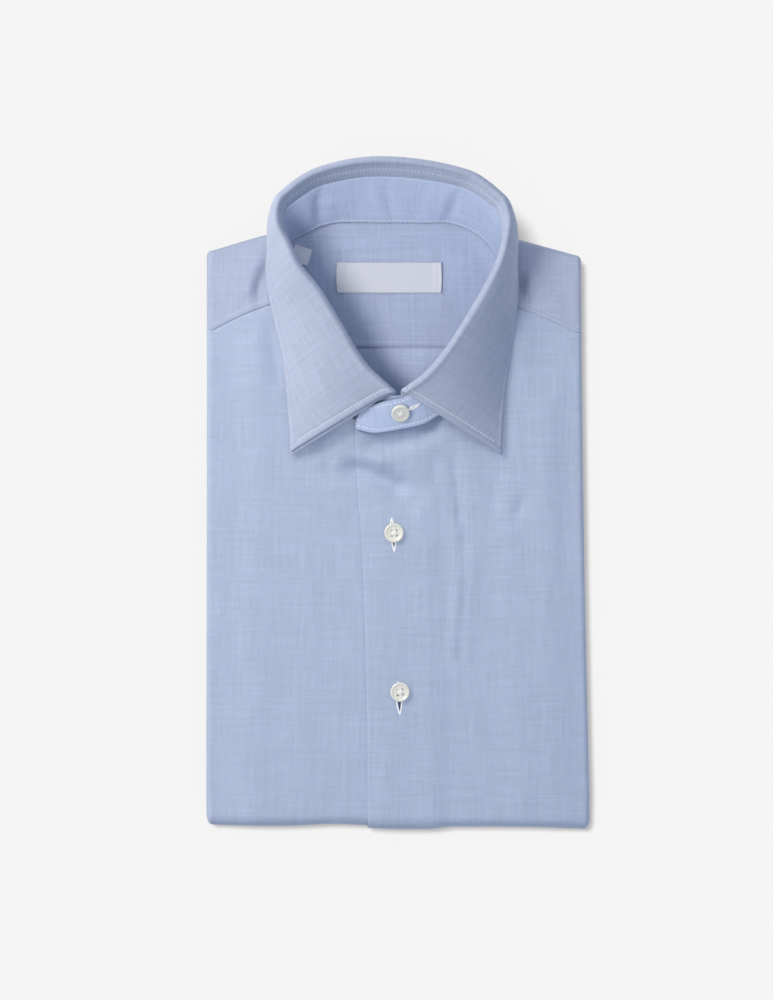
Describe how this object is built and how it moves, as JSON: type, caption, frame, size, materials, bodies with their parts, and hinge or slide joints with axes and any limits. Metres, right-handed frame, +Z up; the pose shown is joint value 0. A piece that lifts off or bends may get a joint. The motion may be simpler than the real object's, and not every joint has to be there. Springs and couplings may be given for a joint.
{
  "type": "long sleeve dress shirt",
  "caption": "Buttoned cotton dress shirt folded for a shelf, its spread collar standing and its sleeves and tail folded behind.",
  "frame": {"origin": "on the surface it rests on, under the middle of the front", "axes": "X across the folded shirt toward the wearer's left, Y up the front toward the collar, Z up from the surface"},
  "size_m": [0.2256, 0.3918, 0.0509],
  "materials": {
    "shirt_cloth": "fine two-tone cotton, pale blue",
    "button_shell": "ivory mother-of-pearl look",
    "label_satin": "woven satin, off-white"
  },
  "bodies": {
    "root": {"folded_layers": "shirt_cloth", "back": "shirt_cloth", "yoke": "shirt_cloth", "front_right": "shirt_cloth", "front_left": "shirt_cloth", "collar_stand": "shirt_cloth", "collar_leaf": "shirt_cloth", "front_button_1": "button_shell", "front_button_2": "button_shell", "collar_button": "button_shell", "main_label": "label_satin", "size_label": "label_satin"}
  },
  "joints": []
}
